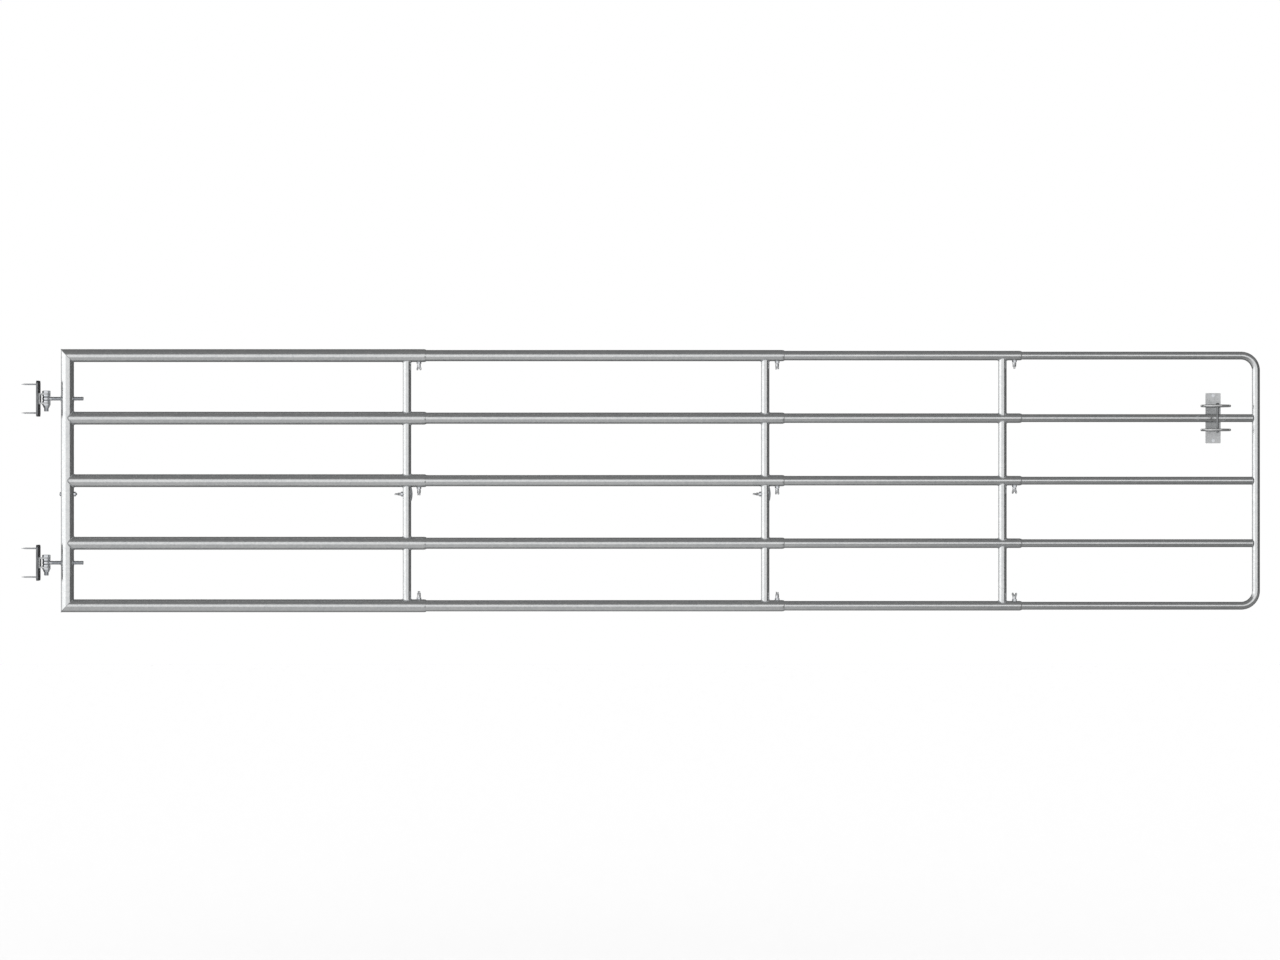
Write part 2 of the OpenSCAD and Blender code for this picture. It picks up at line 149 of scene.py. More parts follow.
print("white is", linear("#ffffff"), "and middle grey is", [round(c, 3) for c in linear("#808080")])

# %% [markdown]
# ## A white room
#
# Bare metal has no colour of its own to speak of: it shows the room. A panorama of a real room could light
# it, but a plain room lets each dark band be placed where the real tubes have one. So the room is white all
# round, at a strength of 1, which is also the white of the picture's background.

# %% White room
world = bpy.data.worlds.new("white_room")
scene.world = world
tree = new_tree(world)
room = add_node(tree, "ShaderNodeBackground", {"Color": linear("#ffffff"), "Strength": 1.0})
add_node(tree, "ShaderNodeOutputWorld", {"Surface": room.outputs["Background"]})
print("room light:", room.inputs["Strength"].default_value)

# %% [markdown]
# ## The floor
#
# The gate hangs on its post, so the floor is well below it and out of the picture. It is a plain pale board.
# Painted, it would end in a grey horizon. As a shadow catcher it shows only the gate's soft shadow against
# the white.

# %% Floor


def board(name, corners, material):
    mesh = bpy.data.meshes.new(name)
    mesh.from_pydata(corners, [], [range(len(corners))])
    mesh.materials.append(material)
    made = bpy.data.objects.new(name, mesh)
    scene.collection.objects.link(made)
    return made


FAR = 24.0
FLOOR_Z = -1.75
FLOOR_FRONT = -5.0


def flat(left, right, front, z):
    return [(left, front, z), (right, front, z), (right, FAR, z), (left, FAR, z)]


floor_paint = bpy.data.materials.new("pale_floor_paint")
tree = new_tree(floor_paint)
paint = add_node(tree, "ShaderNodeBsdfDiffuse", {"Color": linear("#c0c0c0"), "Roughness": 0.5})
add_node(tree, "ShaderNodeOutputMaterial", {"Surface": paint.outputs["BSDF"]})
floor = board("floor", flat(-FAR, FAR, FLOOR_FRONT, FLOOR_Z), floor_paint)
floor.is_shadow_catcher = True

# %% [markdown]
# ## Grey cards and a soft box
#
# In an all-white room a polished tube would vanish. A photographer hangs grey cards out of the picture, and
# the tube gets its dark bands from them. The rails are dark along the top, so one card is a ceiling, lighter
# towards its front edge. The uprights are dark down the right side, so one card is a wall at the right. They
# also have a thin grey line down the left edge, which comes from a wall far back at the left. The hinge
# plates are seen almost edge-on and mirror what stands far behind them, so a dark card closes the room there.
# A card on the floor gives the rails their grey undersides, and it gets darker towards the right and behind
# the gate. Only metal mirrors the cards: the camera and matt surfaces don't see them.

# %% A grey card


def card(name, colour, corners, *fades):
    material = bpy.data.materials.new(name + "_paper")
    tree = new_tree(material)
    place = add_node(tree, "ShaderNodeTexCoord")
    axes = add_node(tree, "ShaderNodeSeparateXYZ", {"Vector": place.outputs["Object"]})
    glow = add_node(tree, "ShaderNodeEmission", {"Color": linear(colour), "Strength": 1.0})
    shade = linear(colour)
    for axis, start, end, far_colour in fades:
        share = add_node(tree, "ShaderNodeMapRange", {
            "Value": axes.outputs[axis], "From Min": start, "From Max": end,
        })
        shade = add_node(tree, "ShaderNodeMix", {
            "Factor": share.outputs["Result"], "A": shade, "B": linear(far_colour),
        }, data_type="RGBA").outputs["Result"]
        tree.links.new(shade, glow.inputs["Color"])
    add_node(tree, "ShaderNodeOutputMaterial", {"Surface": glow.outputs["Emission"]})
    hung = board(name, corners, material)
    hung.visible_camera = hung.visible_diffuse = hung.visible_shadow = False


def wall(x, front):
    return [(x, front, -FAR), (x, FAR, -FAR), (x, FAR, FAR), (x, front, FAR)]


print("walls and ceilings end", FAR, "m behind the gate")

# %% Cards
CEILING_Z, CEILING_FRONT = 8.0, -20.0
RIGHT_X, RIGHT_FRONT = 18.0, -16.5
LEFT_X, LEFT_FRONT = -14.0, 4.5
BACK_LEFT = 1.5
CARD_Z = FLOOR_Z + 10 * MM
STEP_LEFT, STEP_RIGHT, STEP_FRONT = 2.4, 5.0, -10.0
DARKER_FROM, DARKER_TO = 2.8, 5.0
BEHIND_FROM, BEHIND_TO = -0.2, 1.6

card("ceiling_card", "#989898", flat(-FAR, FAR, CEILING_FRONT, CEILING_Z),
     ("Y", CEILING_FRONT, FAR, "#5a5a5a"))
card("right_card", "#6a6a6a", wall(RIGHT_X, RIGHT_FRONT))
card("left_card", "#a8a8a8", wall(LEFT_X, LEFT_FRONT))
card("back_card", "#404040", [
    (BACK_LEFT, FAR, FLOOR_Z), (RIGHT_X, FAR, FLOOR_Z),
    (RIGHT_X, FAR, CEILING_Z), (BACK_LEFT, FAR, CEILING_Z),
])
card("floor_card", "#c6c6c6", [
    (-FAR, FLOOR_FRONT, CARD_Z), (STEP_LEFT, FLOOR_FRONT, CARD_Z), (STEP_RIGHT, STEP_FRONT, CARD_Z),
    (FAR, STEP_FRONT, CARD_Z), (FAR, FAR, CARD_Z), (-FAR, FAR, CARD_Z),
], ("X", DARKER_FROM, DARKER_TO, "#8a8a8a"), ("Y", BEHIND_FROM, BEHIND_TO, "#6c6c6c"))

# %% [markdown]
# The left sides of the tubes are brightest, and there a soft box stands. A small lamp would put a hard line
# on every tube, and a box that is larger than the gate puts a broad, soft one there.

# %% Soft box
BOX_X, BOX_Y = -9.0, -6.0
BOX_SIZE = 24.0
BOX_GLOW = 0.5

lamp_data = bpy.data.lights.new("left_soft_box", "AREA")
lamp_data.shape = "SQUARE"
lamp_data.size = BOX_SIZE
lamp_data.energy = BOX_GLOW * math.pi * BOX_SIZE ** 2
lamp = bpy.data.objects.new("left_soft_box", lamp_data)
lamp.location = (BOX_X, BOX_Y, VIEW_Z)
lamp.rotation_euler = (0, math.radians(-90), 0)
lamp.visible_camera = False
scene.collection.objects.link(lamp)
print("soft box of", round(lamp_data.energy), "W")

# %% [markdown]
# ## Zinc
#
# All of the gate is steel under zinc, which sets in flat crystals called spangle. One function makes every
# finish. Flat images would have to be wrapped round each tube, while patterns that fill space fit any shape.
# Clouds mix a bright and a dull grey, and each crystal has its own brightness and roughness, which is how
# spangle looks as one walks past it. A fine grain lifts the surface by hundredths of a millimetre.
#
# All sizes are in millimetres. Real spangle is 3 to 8 mm wide and the grain under 1 mm. From 14 m a pixel
# covers 4 mm, so both are drawn two or three times as coarse to show at all.

# %% Zinc from clouds, crystals and grain
MIX_RANGE = (0.35, 1.65)
CLOUD_DETAIL, GRAIN_DETAIL = 2.0, 3.0


def zinc(name, bright, dull, polish, spangle, cloud, grain, lift, metal=1.0):
    material = bpy.data.materials.new(name)
    tree = new_tree(material)
    place = add_node(tree, "ShaderNodeTexCoord").outputs["Object"]
    clouds = add_node(tree, "ShaderNodeTexNoise", {
        "Vector": place, "Scale": 1 / (cloud * MM), "Detail": CLOUD_DETAIL,
    })
    crystals = add_node(tree, "ShaderNodeTexVoronoi", {"Vector": place, "Scale": 1 / (spangle * MM)})
    crystal = add_node(tree, "ShaderNodeSeparateColor", {"Color": crystals.outputs["Color"]})
    both = add_node(tree, "ShaderNodeMath", {
        0: clouds.outputs["Fac"], 1: crystal.outputs["Red"],
    }, operation="ADD")
    share = add_node(tree, "ShaderNodeMapRange", {
        "Value": both.outputs["Value"], "From Min": MIX_RANGE[0], "From Max": MIX_RANGE[1],
    })
    colour = add_node(tree, "ShaderNodeMix", {
        "Factor": share.outputs["Result"], "A": linear(bright), "B": linear(dull),
    }, data_type="RGBA")
    roughness = add_node(tree, "ShaderNodeMapRange", {
        "Value": crystal.outputs["Green"], "To Min": polish[0], "To Max": polish[1],
    })
    grains = add_node(tree, "ShaderNodeTexNoise", {
        "Vector": place, "Scale": 1 / (grain * MM), "Detail": GRAIN_DETAIL,
    })
    surface = add_node(tree, "ShaderNodeBump", {
        "Height": grains.outputs["Fac"], "Distance": lift * MM, "Strength": 1.0,
    })
    shader = add_node(tree, "ShaderNodeBsdfPrincipled", {
        "Base Color": colour.outputs["Result"], "Metallic": metal, "Roughness": roughness.outputs["Result"],
        "Normal": surface.outputs["Normal"],
    })
    add_node(tree, "ShaderNodeOutputMaterial", {"Surface": shader.outputs["BSDF"]})
    return material


print("zinc mixed from", MIX_RANGE[0], "to", MIX_RANGE[1])

# %% [markdown]
# The zinc differs by how it was put on. Tube is drawn from strip that ran through a bath of zinc, so it is
# bright. Plates and straps were dipped after they were cut, so they are duller and their spangle is larger.
# Bolts and screws are plated in a bath with current, which leaves an even, bluish film. Weld beads were
# brushed with zinc paint and are the dullest.

# %% Zinc finishes
# Galvanised tube gives the eye clear bands of light along the rails, a little broken up by the spangle
tube_zinc = zinc("galvanised_tube", "#dcdddd", "#cfd1d2", (0.15, 0.23),
                 spangle=9, cloud=220, grain=3, lift=0.008)
# Dipped plate gives an even middle grey without clear reflections
plate_zinc = zinc("galvanised_plate", "#d0d1d2", "#c6c8c9", (0.36, 0.42),
                  spangle=16, cloud=60, grain=2, lift=0.02)
# Plated bolts give small sharp highlights with a cool tint
bolt_zinc = zinc("zinc_plated_steel", "#dadcdf", "#c9ccd0", (0.12, 0.20),
                 spangle=4, cloud=25, grain=1.5, lift=0.01)
# Castings under zinc give a light, soft, even sheen
cast_zinc = zinc("zinc_coated_casting", "#e8e9ea", "#dadcde", (0.26, 0.36),
                 spangle=5, cloud=30, grain=1.5, lift=0.02)
# Bar for the keeper's rings gives a narrow, nearly white highlight along its front
bar_zinc = zinc("galvanised_bar", "#f0f1f1", "#e4e5e6", (0.10, 0.16),
                spangle=6, cloud=40, grain=2, lift=0.008)
# Darker zinc gives the hinge plates and the bowed straps a dark, quiet grey
dark_zinc = zinc("dark_zinc_finish", "#8a8c8e", "#747678", (0.32, 0.42),
                 spangle=12, cloud=60, grain=2, lift=0.03)
# The drop pin's zinc is darker and rougher and gives an even dark grey
pin_zinc = zinc("dark_pin_zinc", "#9c9e9f", "#8e9091", (0.45, 0.55),
                spangle=6, cloud=25, grain=1.5, lift=0.02)
# Weld beads under zinc paint, which is only half metal, give a dull, uneven line round each joint
weld_zinc = zinc("zinc_painted_weld", "#b9bbbc", "#9fa2a4", (0.38, 0.52),
                 spangle=3, cloud=20, grain=1.2, lift=0.08, metal=0.5)
print("zinc finishes:", [m.name for m in bpy.data.materials if "zinc" in m.name or "galvanised" in m.name])

# %% [markdown]
# ## Turning, sweeping and softening
#
# Round ironwork is turned on a lathe, and a stack of rings joined by strips is the same idea: each ring has a
# height along the axis and a radius, and the radius may change with the angle, which gives hexagons and
# threads. Blender's screw modifier turns one fixed profile, while rings can also change from round to hexagon
# and let a thread run out. A weld bead is a ring carried along the joint. A cut plate is finished by taking
# off its sharp edges, so its copy has a bevel of about a millimetre.

# %% Rings and skins
SIDES = 32


def placed(origin, axis, side):
    matrix = Matrix((side, axis.cross(side), axis)).transposed().to_4x4()
    matrix.translation = origin
    return matrix


def whole_turn(steps):
    return [2 * math.pi * k / steps for k in range(steps)]


def ring(shape, place, height, radius, sides=SIDES):
    made = []
    for angle in whole_turn(sides):
        r = radius(angle) if callable(radius) else radius
        made.append(shape.verts.new(place @ Vector((r * math.cos(angle), r * math.sin(angle), height))))
    return made


def skin(shape, rings, loop=False):
    for low, high in zip(rings, rings[1:] + (rings[:1] if loop else [])):
        for k in range(len(low)):
            j = (k + 1) % len(low)
            shape.faces.new((low[k], low[j], high[j], high[k]))
    if not loop:
        shape.faces.new(rings[0])
        shape.faces.new(rings[-1])


print("rings of", SIDES, "sides")

# %% [markdown]
# A finished shape becomes a piece. It is shaded smooth except where two faces meet at a clear angle. It rides
# on the body that carries it and gets its finish. Where it stands for a solid, that solid is hidden.

# %% Shape to piece
SHARP_ANGLE = math.radians(40)


def add_piece(name, shape, body, material, slot, *replaced):
    bmesh.ops.recalc_face_normals(shape, faces=shape.faces)
    for face in shape.faces:
        face.smooth = True
    mesh = bpy.data.meshes.new(name)
    shape.to_mesh(mesh)
    shape.free()
    mesh.set_sharp_from_angle(angle=SHARP_ANGLE)
    mesh.materials.append(material)
    piece = bpy.data.objects.new(name, mesh)
    scene.collection.objects.link(piece)
    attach(piece, body)
    if replaced:
        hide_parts(*replaced)
    return piece


print("edges stay sharp over", round(math.degrees(SHARP_ANGLE)), "degrees")

# %% [markdown]
# ## Weld beads
#
# Uprights, rails, nuts, bushes, forks and keeper rings are all held by weld. Where a round tube of radius r
# meets the side of a tube of radius R, the joint is a saddle: a circle in plan whose height follows the
# larger tube. It could be cut out of the two solids, but its formula is short and gives even steps.

# %% Weld paths
BEAD_STEP = 0.8 * MM
LEAST_STEPS = 4
SADDLE_LIFT = 0.4 * MM


def saddle(centre, along, across, r, big_r, lift=SADDLE_LIFT):
    third = along.cross(across)
    points = []
    for t in whole_turn(round(2 * math.pi * r / BEAD_STEP)):
        reach = math.sqrt((big_r + lift) ** 2 - (r * math.sin(t)) ** 2)
        points.append(centre + r * math.cos(t) * across + r * math.sin(t) * third + reach * along)
    return points


def line(start, end):
    n = max(LEAST_STEPS, round((end - start).length / BEAD_STEP))
    return [start.lerp(end, k / n) for k in range(n + 1)]


print("weld paths in steps of", round(BEAD_STEP / MM, 1), "mm")

# %% [markdown]
# The bead is laid along the path in overlapping drops, so its thickness ripples every few millimetres. A
# curve with a round section would be quicker to make, but it would look like wire. An open bead gets thinner
# towards its two ends. The bead is round about its path, and the inside of the joint, which is the middle of
# the path unless it is told otherwise, only says where its first side points.

# %% Weld bead
BEAD_SIDES = 8
RIPPLE = 3.2 * MM
RIPPLE_SHARE = 0.14
END_SHARE, END_POWER = 0.25, 0.4


def bead(shape, points, thick, inside=None, closed=True):
    rings, run, n = [], 0.0, len(points)
    if inside is None:
        inside = sum(points, Vector()) / n
    for k, point in enumerate(points):
        before = points[k - 1] if k or closed else point
        after = points[(k + 1) % n] if k + 1 < n or closed else point
        tangent = (after - before).normalized()
        side = tangent.cross(point - inside).normalized()
        out = side.cross(tangent)
        run += (point - before).length
        r = thick * (1 + RIPPLE_SHARE * math.cos(2 * math.pi * run / RIPPLE))
        if not closed:
            r *= max(END_SHARE, math.sin(math.pi * k / (n - 1))) ** END_POWER
        rings.append([
            shape.verts.new(point + r * (math.cos(t) * out + math.sin(t) * side))
            for t in whole_turn(BEAD_SIDES)
        ])
    skin(shape, rings, loop=closed)


print("bead drops every", round(RIPPLE / MM, 1), "mm")

# %% [markdown]
# The places come from the solids themselves. Each section's rails give the five heights, its upright gives
# its own middle, and the clamp screws' turning axes give the places of their nuts.

# %% Places read from the solids
RAILS = ("top", "upper", "middle", "lower", "bottom")
CLAMPED = ("top", "middle", "bottom")
LEVELS = ("lower", "upper")
SECTIONS = ("first", "second", "third")
BODY = {"first": "main_frame", "second": "second_frame", "third": "third_frame"}


def middle(name):
    low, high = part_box(name)
    return (low + high) / 2


def width(name, axis):
    low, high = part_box(name)
    return (high - low).dot(axis)


rail_z = [middle(f"first_{rail}_rail").z for rail in RAILS]
rail_r = {section: width(f"{section}_middle_rail", Y) / 2 for section in SECTIONS}
upright_r = width("first_upright", Y) / 2
upright_x = {section: middle(f"{section}_upright").x for section in SECTIONS}
stile_x = middle("hinge_stile").x
stile_r = width("hinge_stile", Y) / 2
bush_r = width("eyebolt_bushes", Y) / 2
end_r = width("end_middle_rail", Y) / 2
end_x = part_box("end_hoop")[1].x - end_r
cross_z = middle("stile_bolt").z
hinge_z = [middle(f"{level}_eyebolt").z for level in LEVELS]
print("rail heights in mm:", [round(z / MM, 1) for z in rail_z])

# %% [markdown]
# Each upright is four short tubes, so it has a bead wherever one of them meets a rail. The clamp nuts are
# welded to the rails, and the wing bolts' nuts to the uprights. The bowed straps have a thin seam at each
# end.

# %% Welds of the three rail sections
TUBE_BEAD = 2.3 * MM
NUT_BEAD = 1.6 * MM
SEAM_BEAD = 1.1 * MM
NUT_R = 9.3 * MM
STRAP_SEAM_SHARE = 0.9

weld = {section: bmesh.new() for section in SECTIONS}
for section in SECTIONS:
    for k, z in enumerate(rail_z):
        centre = Vector((upright_x[section], 0, z))
        above, below = k > 0, k < len(RAILS) - 1
        for up in [1] * above + [-1] * below:
            bead(weld[section], saddle(centre, up * Z, X, upright_r, rail_r[section]), TUBE_BEAD)
    for rail in CLAMPED:
        turn = joints[f"{section}_{rail}_clamp_turn"]
        path = saddle(Vector(turn["pos_m"]), Vector(turn["axis"]), X, NUT_R, rail_r[section])
        bead(weld[section], path, NUT_BEAD)
    if section != "third":
        centre = Vector((upright_x[section], 0, cross_z))
        bead(weld[section], saddle(centre, -X, Z, NUT_R, upright_r), NUT_BEAD)
        low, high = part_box(f"{section}_strap")
        for z in (low.z, high.z):
            half = STRAP_SEAM_SHARE * (high.y - low.y) / 2
            path = [Vector((centre.x + math.sqrt(upright_r ** 2 - p.y ** 2) + SADDLE_LIFT, p.y, z))
                    for p in line(Vector((0, -half, 0)), Vector((0, half, 0)))]
            bead(weld[section], path, SEAM_BEAD, Vector((centre.x, 0, z)), closed=False)
print("sections with welds:", ", ".join(weld))

# %% [markdown]
# The three inner rails of the first section are welded to the hinge stile, and so are the bushes of the
# eyebolts. The mitred corners were ground almost flush, and only a thin seam is left there. It follows the
# cut at 45 degrees, which is an ellipse.

# %% Welds of the hinge stile
RAIL_LIFT = 0.6 * MM

for z in rail_z[1:-1]:
    bead(weld["first"], saddle(Vector((stile_x, 0, z)), X, Z, stile_r, stile_r, RAIL_LIFT), TUBE_BEAD)
for z in hinge_z:
    for way in (-1, 1):
        bead(weld["first"], saddle(Vector((stile_x, 0, z)), way * X, Z, bush_r, stile_r, 0), SEAM_BEAD)
for z, up in ((rail_z[0], 1), (rail_z[-1], -1)):
    path = [Vector((stile_x + stile_r * math.cos(t), stile_r * math.sin(t), z - up * stile_r * math.cos(t)))
            for t in whole_turn(round(2 * math.pi * stile_r / BEAD_STEP))]
    bead(weld["first"], path, SEAM_BEAD, Vector((stile_x, 0, z)))
for section in SECTIONS:
    made = add_piece(f"{section}_section_welds", weld[section], BODY[section], weld_zinc, "galvanised_steel")
    print(made.name, len(made.data.polygons), "faces")

# %% [markdown]
# The rails of the end section are cut square and butt against the round end stile, which leaves a wedge open
# at the front and at the back. The welder fills it: the fill starts on the rail, swells over its rim and ends
# on the stile, so it is three rings, of which the last lies on the stile's round side. A bead alone would
# leave the wedge open.

# %% Welds of the end section
FILL_TURNS = 96
FILL_SHARE = 0.56
FILL_TOE = 2.0 * MM
FILL_SWELL = 0.6 * MM
SKIN_DEPTH = 0.1 * MM

shape = bmesh.new()
for rail in RAILS[1:-1]:
    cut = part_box(f"end_{rail}_rail")[1].x
    z = middle(f"end_{rail}_rail").z
    fill = []
    for t in whole_turn(FILL_TURNS):
        y, up = math.sin(t), math.cos(t)
        rim = min(cut, end_x - end_r * abs(up))
        swell = end_r + FILL_SWELL * (1 + 2 * RIPPLE_SHARE * math.cos(2 * math.pi * end_r * t / RIPPLE))
        inner = end_r - SKIN_DEPTH
        spread = FILL_SHARE * end_r * y
        toe = end_x - math.sqrt((end_r + SKIN_DEPTH) ** 2 - spread ** 2)
        fill.append((
            (rim - FILL_TOE, inner * y, z + inner * up), (rim, swell * y, z + swell * up),
            (toe, spread, z + (end_r + FILL_TOE) * up),
        ))
    skin(shape, [[shape.verts.new(spot) for spot in spots] for spots in zip(*fill)])
made = add_piece("end_section_welds", shape, "end_frame", weld_zinc, "galvanised_steel")
print(made.name, len(made.data.polygons), "faces")

# %% [markdown]
# The hinge forks have a bead all round their foot, along four straight lines.

# %% Welds of the hinges
FORK_BEAD = 2.0 * MM
shape = bmesh.new()
for level in LEVELS:
    low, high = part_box(f"{level}_hinge_fork")
    corners = [Vector((low.x, y, z)) for y, z in (
        (low.y, low.z), (high.y, low.z), (high.y, high.z), (low.y, high.z),
    )]
    path = [p for a, b in zip(corners, corners[1:] + corners[:1]) for p in line(a, b)[:-1]]
    bead(shape, path, FORK_BEAD)
made = add_piece("hinge_fork_welds", shape, "hinge_brackets", weld_zinc, "galvanised_steel")
print(made.name, len(made.data.polygons), "faces")

# %% [markdown]
# The keeper's rings and sleeves are held by short open beads, above and below the bar.

# %% Welds of the keeper
KEEPER_BEAD_HALF = 13 * MM
SLEEVE_BEAD_HALF = 5 * MM
RING_FOOT_SHARE, SLEEVE_FOOT_SHARE = 0.85, 0.9
RING_FOOT_Y, SLEEVE_FOOT_Y = -1.5 * MM, 0.5 * MM
BAR_R = 5 * MM
low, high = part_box("keeper_rings")
keeper_x = middle("keeper_plate").x
sleeve_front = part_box("keeper_sleeves")[0].y
shape = bmesh.new()
for z in (low.z + BAR_R, high.z - BAR_R):
    for side in (-1, 1):
        reach = KEEPER_BEAD_HALF * X
        foot = Vector((keeper_x, high.y + RING_FOOT_Y, z + RING_FOOT_SHARE * side * BAR_R))
        bead(shape, line(foot - reach, foot + reach), TUBE_BEAD, foot - BAR_R * Y, closed=False)
        reach = SLEEVE_BEAD_HALF * X
        foot = Vector((keeper_x, sleeve_front + SLEEVE_FOOT_Y, z + SLEEVE_FOOT_SHARE * side * BAR_R))
        bead(shape, line(foot - reach, foot + reach), NUT_BEAD, foot + BAR_R * Y, closed=False)
add_piece("keeper_welds", shape, "keeper", weld_zinc, "galvanised_steel")

# %% [markdown]
# ## Threads
#
# A thread is a groove that climbs round the bolt by one pitch per turn. On a stack of rings it is a radius
# that depends on the angle and the height together. Bump in the material could draw it, but its outline would
# stay straight.

# %% Thread
THREAD_SIDES = 24
STEPS_PER_TURN = 6
CREST_SHARE = 0.15


def thread(shape, place, start, end, crest, depth, pitch, tip, tip_share):
    n = round((end - start) / pitch * STEPS_PER_TURN)
    rings = []
    for k in range(n + 1):
        height = start + (end - start) * k / n
        full = crest * min(1.0, tip_share + (1 - tip_share) * (end - height) / tip)
        fade = min(1.0, (height - start) / pitch)

        def radius(angle):
            phase = (height / pitch - angle / (2 * math.pi)) % 1
            groove = (1 + 2 * CREST_SHARE) * (1 - abs(2 * phase - 1)) - CREST_SHARE
            return full * (1 - fade * min(1.0, max(0.0, groove)) * depth / crest)

        rings.append(ring(shape, place, height, radius, THREAD_SIDES))
    return rings


print("threads of", STEPS_PER_TURN, "rings a turn")

# %% [markdown]
# A bolt is a head and a thread on one stack of rings. The hinge bolts have hexagonal heads with the corners
# taken off, and the cross bolt has a low dome, which is a slice of a ball. Each bolt has the coarse pitch of
# its diameter: 2 mm for the eyebolts of 16 mm, 2.5 mm for the hinge bolts of 20 mm and 1.5 mm for the cross
# bolt of 10 mm.

# %% Bolts and their heads
THREAD_SHARE = 0.6
HEX_CHAMFER = 1.2 * MM
HEX_TOP_SHARE = 0.92
DOME_RINGS = 8
DOME_FOOT_SHARE = 0.97


def hexagon(across):
    return lambda angle: across / 2 / math.cos((angle + math.pi / 6) % (math.pi / 3) - math.pi / 6)


def dome_head(head_r, head_h):
    ball = (head_r ** 2 + head_h ** 2) / (2 * head_h)
    turns = [math.asin(head_r / ball) * (k + 1) / DOME_RINGS for k in range(DOME_RINGS)]
    dome = [(ball * (1 - math.cos(t)) - head_h, ball * math.sin(t)) for t in turns]
    return dome + [(0, DOME_FOOT_SHARE * head_r)]


def hex_head(across, head_h):
    six = hexagon(across)
    return [(-head_h, HEX_TOP_SHARE * across / 2), (HEX_CHAMFER - head_h, six), (0, six)]


def bolt(shape, place, head, shank_r, thread_start, length, pitch):
    rings = [ring(shape, place, h, r, THREAD_SIDES) for h, r in head]
    depth = THREAD_SHARE * pitch
    rings += thread(shape, place, thread_start, length, shank_r, depth, pitch, depth, 1 - depth / shank_r)
    skin(shape, rings)


print("threads as deep as", THREAD_SHARE, "of their pitch")

# %% [markdown]
# An eyebolt is one rod with its end forged to an eye, so the eye is rounded in section, as the rod is, and
# catches the light in one line. The rod is threaded along its whole length, so that the gate can hang closer
# to its post or further from it. The eye is a ring with an oval section, and the rod is a stack of rings.

# %% Eyebolts
EYEBOLT_R = 8 * MM
M16_PITCH = 2 * MM
HINGE_BOLT_R = 10 * MM
BOLT_PLAY = 0.1 * MM
EYE_TURNS = 24
ROD_ROOT_SHARE = 0.8
ROD_PLAIN = 6 * MM

for level in LEVELS:
    name = f"{level}_eyebolt"
    low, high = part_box(name)
    eye_r, half = (high.y - low.y) / 2, (high.z - low.z) / 2
    centre = Vector((low.x + eye_r, 0, (low.z + high.z) / 2))
    wall_half = (eye_r - HINGE_BOLT_R - BOLT_PLAY) / 2
    shape = bmesh.new()
    eye = placed(centre, Z, X)
    skin(shape, [
        ring(shape, eye, half * math.sin(t), eye_r - wall_half * (1 - math.cos(t)))
        for t in whole_turn(EYE_TURNS)
    ], loop=True)
    plain = [(ROD_ROOT_SHARE * eye_r, EYEBOLT_R)]
    rod = placed(centre, X, Y)
    bolt(shape, rod, plain, EYEBOLT_R, eye_r + ROD_PLAIN, high.x - centre.x, M16_PITCH)
    made = add_piece(f"{name}_threaded", shape, "main_frame", bolt_zinc, slots[name], name)
    print(made.name, "eye", round(2 * eye_r / MM, 1), "mm across")

# %% [markdown]
# A hinge bolt goes down through the fork and the eye, with its head on the fork. The cross bolt goes through
# the hinge stile, and its dome shows at the stile's left edge.

# %% Hinge bolts
M20_PITCH = 2.5 * MM
HINGE_THREAD_START = 38 * MM

for level in LEVELS:
    name = f"{level}_hinge_bolt"
    low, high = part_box(name)
    fork_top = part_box(f"{level}_hinge_fork")[1].z
    shape = bmesh.new()
    place = placed(Vector((middle(name).x, 0, fork_top)), -Z, Y)
    head = hex_head(high.y - low.y, high.z - fork_top) + [(0, HINGE_BOLT_R)]
    bolt(shape, place, head, HINGE_BOLT_R, HINGE_THREAD_START, fork_top - low.z, M20_PITCH)
    made = add_piece(f"{name}_threaded", shape, "hinge_brackets", bolt_zinc, slots[name], name)
    print(made.name, round((high.z - low.z) / MM, 1), "mm long")

# %% Cross bolt
CROSS_R = 5 * MM
M10_PITCH = 1.5 * MM
CROSS_THREAD_START = 45 * MM
low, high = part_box("stile_bolt")
seat = stile_x - stile_r
shape = bmesh.new()
place = placed(Vector((seat, 0, cross_z)), X, Y)
head = dome_head((high.y - low.y) / 2, seat - low.x) + [(0, CROSS_R)]
bolt(shape, place, head, CROSS_R, CROSS_THREAD_START, high.x - seat, M10_PITCH)
add_piece("stile_bolt_threaded", shape, "main_frame", bolt_zinc, slots["stile_bolt"], "stile_bolt")
print("stile bolt", round((high.x - low.x) / MM, 1), "mm long")

# %% [markdown]
# The hinge plates and the keeper's plate are held by wood screws: a countersunk head with a hexagonal drive,
# a plain neck in the plate and a steep thread round a slender core that runs out in a point. The thread is
# the same stack of rings with a longer tip, so the helper above makes it too.

# %% Wood screws
SCREW_CREST = 3.5 * MM
SCREW_DEPTH = 0.9 * MM
SCREW_PITCH = 3.2 * MM
SCREW_POINT = 16 * MM
SCREW_TIP_SHARE = 0.1
HEAD_R = 7 * MM
HEAD_EDGE = 0.2 * MM
NECK_R = 3.1 * MM
NECK_RUN = 0.5 * MM
DRIVE_ACROSS, DRIVE_DEPTH = 5.2 * MM, 2 * MM


def wood_screw(shape, place, neck, length):
    drive = hexagon(DRIVE_ACROSS)
    rings = [ring(shape, place, h, r, THREAD_SIDES) for h, r in (
        (DRIVE_DEPTH, drive), (0, drive), (0, HEAD_R - HEAD_EDGE), (HEAD_EDGE, HEAD_R),
        (HEAD_R - NECK_R, NECK_R), (neck, NECK_R),
    )]
    rings += thread(shape, place, neck + NECK_RUN, length,
                    SCREW_CREST, SCREW_DEPTH, SCREW_PITCH, SCREW_POINT, SCREW_TIP_SHARE)
    skin(shape, rings)


